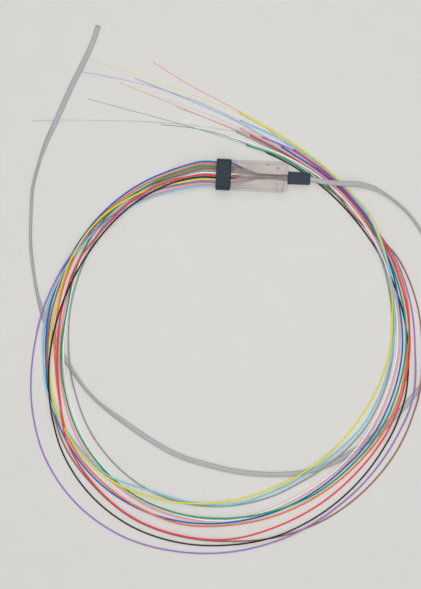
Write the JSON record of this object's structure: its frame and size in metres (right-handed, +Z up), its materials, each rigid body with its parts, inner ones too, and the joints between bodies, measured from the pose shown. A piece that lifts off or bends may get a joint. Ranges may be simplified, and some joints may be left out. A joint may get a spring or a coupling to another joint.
{
  "type": "fibre breakout cable",
  "caption": "Fibre breakout: a clear splitting housing with a dark comb and boot, fed by a grey cable, fanning into a coil of colour-coded buffer tubes with bare fibre ends.",
  "frame": {"origin": "centre of the housing's underside, on the surface that the coil lies on", "axes": "+X along the housing from the comb to the cable boot, +Z up, the coil lies towards -Y"},
  "size_m": [0.2476, 0.3032, 0.0066],
  "materials": {
    "comb": "satin",
    "clear": "clear",
    "boot": "matt",
    "jacket": "satin",
    "blue": "satin",
    "orange": "satin",
    "green": "satin",
    "brown": "satin",
    "slate": "satin",
    "white": "satin",
    "red": "satin",
    "black": "satin",
    "yellow": "satin",
    "violet": "satin",
    "rose": "satin",
    "aqua": "satin"
  },
  "bodies": {
    "root": {"comb_block": "comb", "clear_body": "clear", "cable_boot": "boot", "feed_cable": "jacket", "tube_blue": "blue", "fibre_blue": "blue", "inner_fibre_blue": "blue", "tube_orange": "orange", "fibre_orange": "orange", "inner_fibre_orange": "orange", "tube_green": "green", "fibre_green": "green", "inner_fibre_green": "green", "tube_brown": "brown", "fibre_brown": "brown", "inner_fibre_brown": "brown", "tube_slate": "slate", "fibre_slate": "slate", "inner_fibre_slate": "slate", "tube_white": "white", "fibre_white": "white", "inner_fibre_white": "white", "tube_red": "red", "fibre_red": "red", "inner_fibre_red": "red", "tube_black": "black", "fibre_black": "black", "inner_fibre_black": "black", "tube_yellow": "yellow", "fibre_yellow": "yellow", "inner_fibre_yellow": "yellow", "tube_violet": "violet", "fibre_violet": "violet", "inner_fibre_violet": "violet", "tube_rose": "rose", "fibre_rose": "rose", "inner_fibre_rose": "rose", "tube_aqua": "aqua", "fibre_aqua": "aqua", "inner_fibre_aqua": "aqua"}
  },
  "joints": []
}
